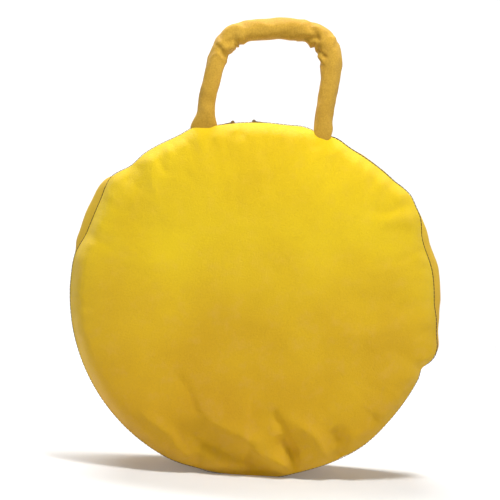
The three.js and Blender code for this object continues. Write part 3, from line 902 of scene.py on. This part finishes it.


def woven(name, light, dark, pitch=0.0007, rough=0.48, sheen=0.06, painted_shade=None, painted_sheen=None):
    """Plain-woven cloth: crossed yarns, slubs, soft random changes of tone, painted sheen
    patches and painted shade low down.
    """
    material, nodes, links, shader = tree_of(name)
    where = object_place(nodes)

    def noise_node(scale, detail, rough_by=0.5):
        node = nodes.new("ShaderNodeTexNoise")
        node.inputs["Scale"].default_value = scale
        node.inputs["Detail"].default_value = detail
        node.inputs["Roughness"].default_value = rough_by
        links.new(where, node.inputs["Vector"])
        return node.outputs["Fac"]

    def yarn(direction):
        node = nodes.new("ShaderNodeTexWave")
        node.wave_type = "BANDS"
        node.bands_direction = direction
        node.inputs["Scale"].default_value = 2 * math.pi / (20 * pitch)
        node.inputs["Distortion"].default_value = 0.6
        node.inputs["Detail"].default_value = 1.0
        links.new(where, node.inputs["Vector"])
        return node.outputs["Fac"]

    def maths(operation, a, b):
        node = nodes.new("ShaderNodeMath")
        node.operation = operation
        for socket, value in zip(node.inputs, (a, b)):
            if hasattr(value, "default_value") or hasattr(value, "links"):
                links.new(value, socket)
            else:
                socket.default_value = value
        return node.outputs[0]

    def mixed_with(base, other, factor, how="MIX"):
        node = nodes.new("ShaderNodeMix")
        node.data_type = "RGBA"
        node.blend_type = how
        links.new(factor, node.inputs["Factor"])
        links.new(base, node.inputs["A"])
        node.inputs["B"].default_value = (*other, 1)
        return node.outputs["Result"]

    broad = noise_node(9.0, 3.0)
    fine = noise_node(650.0, 2.0, 0.65)
    colour = ramp(nodes, [(0.35, dark), (0.62, light)])
    mixed = maths("ADD", maths("MULTIPLY", broad, 0.72), maths("MULTIPLY", fine, 0.28))
    links.new(mixed, colour.inputs["Fac"])
    result = colour.outputs["Color"]
    # Painted sheen: pale peach patches mixed into the colour stand in for the cloth's sheen
    # highlights.
    if painted_sheen:
        painted_sheen_spots = ramp(nodes, [(0.52, (0, 0, 0)), (0.72, (0.22, 0.22, 0.22))])
        links.new(noise_node(75.0, 4.0, 0.6), painted_sheen_spots.inputs["Fac"])
        result = mixed_with(result, painted_sheen, painted_sheen_spots.outputs["Color"])
    # Painted shade: low on the bag the colour is multiplied darker and warmer, standing in for
    # the shade on the lower half.
    if painted_shade:
        split = nodes.new("ShaderNodeSeparateXYZ")
        links.new(where, split.inputs[0])
        height = maths("ADD", split.outputs["Z"], maths("MULTIPLY", broad, 0.08))
        painted_shade_mask = map_range(nodes, links, height, 1.0, 0.0, *PAINTED_SHADE_HEIGHTS)
        result = mixed_with(result, painted_shade, painted_shade_mask, "MULTIPLY")
    links.new(result, shader.inputs["Base Color"])
    yarns = maths("ADD", yarn("X"), yarn("Z"))
    height = maths("ADD", maths("MULTIPLY", yarns, 0.5), maths("MULTIPLY", fine, 1.5))
    add_bumps(nodes, links, shader, height, 0.7, 0.0006)
    roughness = map_range(nodes, links, fine, rough - 0.09, rough + 0.12)
    links.new(roughness, shader.inputs["Roughness"])
    shader.inputs["Sheen Weight"].default_value = sheen
    shader.inputs["Sheen Roughness"].default_value = 0.45
    shader.inputs["Specular IOR Level"].default_value = 0.22
    return material


def foamed(name, colour):
    """Foam: open cells, pale walls round darker hollows; the darker hollows are painted shade.
    """
    material, nodes, links, shader = tree_of(name)
    where = object_place(nodes)
    cells = nodes.new("ShaderNodeTexVoronoi")
    cells.inputs["Scale"].default_value = 900
    links.new(where, cells.inputs["Vector"])
    # Painted shade: the cells' hollows are coloured darker than their walls.
    dark = tuple(c * 0.6 for c in colour)
    shade_with(nodes, links, shader, cells.outputs["Distance"], [(0.0, dark), (0.6, colour)])
    add_bumps(nodes, links, shader, cells.outputs["Distance"], 0.5, 0.0005)
    shader.inputs["Roughness"].default_value = 0.9
    return material


def hard(name, colour, rough, metal, scratch):
    """Nylon or metal with fine scuffs in its colour, roughness and surface."""
    material, nodes, links, shader = tree_of(name)
    where = object_place(nodes)
    marks = nodes.new("ShaderNodeTexNoise")
    marks.inputs["Scale"].default_value = scratch
    marks.inputs["Detail"].default_value = 6
    links.new(where, marks.inputs["Vector"])
    dark = tuple(c * 0.72 for c in colour)
    shade_with(nodes, links, shader, marks.outputs["Fac"], [(0.3, dark), (0.7, colour)])
    roughness = map_range(nodes, links, marks.outputs["Fac"], rough - 0.08, rough + 0.18)
    links.new(roughness, shader.inputs["Roughness"])
    add_bumps(nodes, links, shader, marks.outputs["Fac"], 0.12, 0.0002)
    shader.inputs["Metallic"].default_value = metal
    return material


# Both yellow cloths are painted darker and warmer low down (painted shade); the body's cloth
# also has peach patches that stand in for its sheen (painted sheen).
YELLOW = woven("yellow_cloth", (0.84, 0.59, 0.003), (0.72, 0.47, 0.002), painted_shade=(0.89, 0.73, 2.5),
               painted_sheen=(0.84, 0.55, 0.045))
SIDE_CLOTH = woven("yellow_side_cloth", (0.80, 0.53, 0.03), (0.68, 0.41, 0.02),
                   painted_shade=(0.96, 0.85, 1.2))
# The handle's cloth is a darker, more orange copy of the body's yellow cloth: painted shade on
# the handle.
GRIP_WITH_PAINTED_SHADE = woven("yellow_grip_cloth_painted_shade", (0.66, 0.39, 0.042), (0.38, 0.20, 0.010), rough=0.55)
LINING = woven("lining_cloth", (0.34, 0.16, 0.01), (0.24, 0.11, 0.007), pitch=0.0006,
               sheen=0.1)
TAPE = woven("binding_tape", (0.035, 0.025, 0.02), (0.015, 0.01, 0.01), pitch=0.0009, sheen=0.1)
THREAD = woven("thread", (0.62, 0.38, 0.05), (0.40, 0.22, 0.03), pitch=0.0004)
# Dark seam thread: its dark line in the groove is partly real thread and partly painted shadow
# of the seam.
SEAM_SHADOW_DARK_THREAD = woven("seam_shadow_dark_thread", (0.10, 0.045, 0.012), (0.05, 0.022, 0.008), pitch=0.0004)
FOAM = foamed("foam", (0.55, 0.53, 0.47))
STUFFING = foamed("stuffing", (0.7, 0.69, 0.66))
NYLON = hard("zip_nylon", (0.03, 0.022, 0.018), 0.35, 0.0, 500)
BRASS = hard("aged_brass", (0.30, 0.20, 0.09), 0.35, 1.0, 700)


# ------------------------------------------------------------------ build and place
def put(piece, body, slot, material, *nodes):
    piece.data.materials.clear()
    piece.data.materials.append(material)
    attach(piece, body)
    if nodes:
        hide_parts(*nodes)
    return piece


for word, side in (("front", -1), ("back", 1)):
    panel, foam, lining = build_panel(side, word)
    put(panel, "bag", "cloth", YELLOW, f"{word}_panel")
    put(foam, "bag", "foam", FOAM, f"{word}_foam")
    put(lining, "bag", "lining", LINING, f"{word}_lining")
    put(seam_shadow_thread(word, side), "bag", "cloth", SEAM_SHADOW_DARK_THREAD)
    put(build_binding(word, side), "bag", "binding", TAPE, f"{word}_seam_binding")

gusset, gusset_foam, gusset_lining = build_gusset()
put(gusset, "bag", "cloth", SIDE_CLOTH, "gusset")
put(gusset_foam, "bag", "foam", FOAM, "gusset_foam")
put(gusset_lining, "bag", "lining", LINING, "gusset_lining")

for (strip, tape), (word, side) in zip(build_strips(), (("front", -1), ("rear", 1))):
    put(strip, "bag", "cloth", SIDE_CLOTH, f"zip_strip_{word}")
    put(tape, "bag", "zip_tape", TAPE, f"zip_tape_{word}")
    put(build_coil(word, side), "bag", "zip_coil", NYLON, f"zip_coil_{word}")
    put(zip_stitches(word, side), "bag", "cloth", THREAD)

for word, side in (("left", -1), ("right", 1)):
    put(build_end_tab(word, side), "bag", "cloth", SIDE_CLOTH, f"zip_end_tab_{word}")
    put(build_handle_end(word, side), "bag", "handle_cloth", GRIP_WITH_PAINTED_SHADE, f"handle_end_{word}")
    put(build_patch(word), "bag", "lining", LINING, f"handle_patch_{word}")
    put(bevelled(f"zip_stop_{word}", f"zip_stop_{word}_eased", 0.2), "bag", "zip_metal",
        BRASS, f"zip_stop_{word}")
    put(bevelled(f"zip_slider_{word}", f"zip_slider_{word}_eased", 0.3), f"slider_{word}",
        "zip_metal", BRASS, f"zip_slider_{word}")
    put(bevelled(f"pull_tab_{word}", f"pull_tab_{word}_eased", 0.3), f"tab_{word}",
        "zip_metal", BRASS, f"pull_tab_{word}")

sleeve, core = build_handle()
for piece, slot, material, node in ((sleeve, "handle_cloth", GRIP_WITH_PAINTED_SHADE, "handle_sleeve"),
                                    (core, "foam", STUFFING, "handle_core")):
    piece.data.materials.append(material)
    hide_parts(node)
    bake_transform(piece)


# ------------------------------------------------------------------ stage and light
STAGE_R, COVE_R, WALL_HIGH = 2600, 500, 1500


def build_stage():
    """A round floor that turns up through a cove into a wall."""
    material, nodes, links, shader = tree_of("stage_white")
    grain = nodes.new("ShaderNodeTexNoise")
    grain.inputs["Scale"].default_value = 40
    shade_with(nodes, links, shader, grain.outputs["Fac"],
               [(0.3, (0.74, 0.74, 0.74)), (0.7, (0.78, 0.78, 0.78))])
    shader.inputs["Roughness"].default_value = 0.9
    shader.inputs["Emission Color"].default_value = (1, 1, 1, 1)
    shader.inputs["Emission Strength"].default_value = 0.12
    curve = [(STAGE_R - COVE_R + COVE_R * math.sin(t), COVE_R - COVE_R * math.cos(t))
             for t in np.linspace(0, math.pi / 2, 12)]
    floor = [(0.5, 0), (700, 0), (1400, 0)]
    profile = floor + curve + [(STAGE_R, WALL_HIGH)]
    around = 64
    points, faces = [], []
    for radius, z in profile:
        for k in range(around):
            t = 2 * math.pi * k / around
            points.append((radius * math.sin(t), radius * math.cos(t), z))
    for i in range(len(profile) - 1):
        for k in range(around):
            m = (k + 1) % around
            here, after = i * around, (i + 1) * around
            faces.append((here + k, here + m, after + m, after + k))
    faces.append(tuple(range(around)))
    stage = make("studio_sweep", points, faces)
    stage.data.materials.append(material)


def area_light(name, where, at, size, power):
    data = bpy.data.lights.new(name, "AREA")
    data.shape = "RECTANGLE"
    data.size, data.size_y = size
    data.energy = power
    light = bpy.data.objects.new(name, data)
    light.location = where
    light.rotation_euler = (Vector(at) - Vector(where)).to_track_quat("-Z", "Y").to_euler()
    bpy.context.collection.objects.link(light)


build_stage()
area_light("key", (0.13, -0.48, 1.00), (0.01, 0.0, 0.24), (0.24, 0.20), 9.6)
area_light("fill", (1.1, -1.2, 0.5), (0, 0, 0.2), (0.8, 0.8), 0.6)
area_light("rear", (-0.3, 0.6, 1.7), (0, 1.4, 0.1), (1.4, 0.7), 52)
world = bpy.data.worlds.new("studio")
bpy.context.scene.world = world
world.use_nodes = True
background = world.node_tree.nodes["Background"]
background.inputs["Color"].default_value = (1, 1, 1, 1)
background.inputs["Strength"].default_value = 0.05
bpy.context.scene.view_settings.view_transform = "Standard"
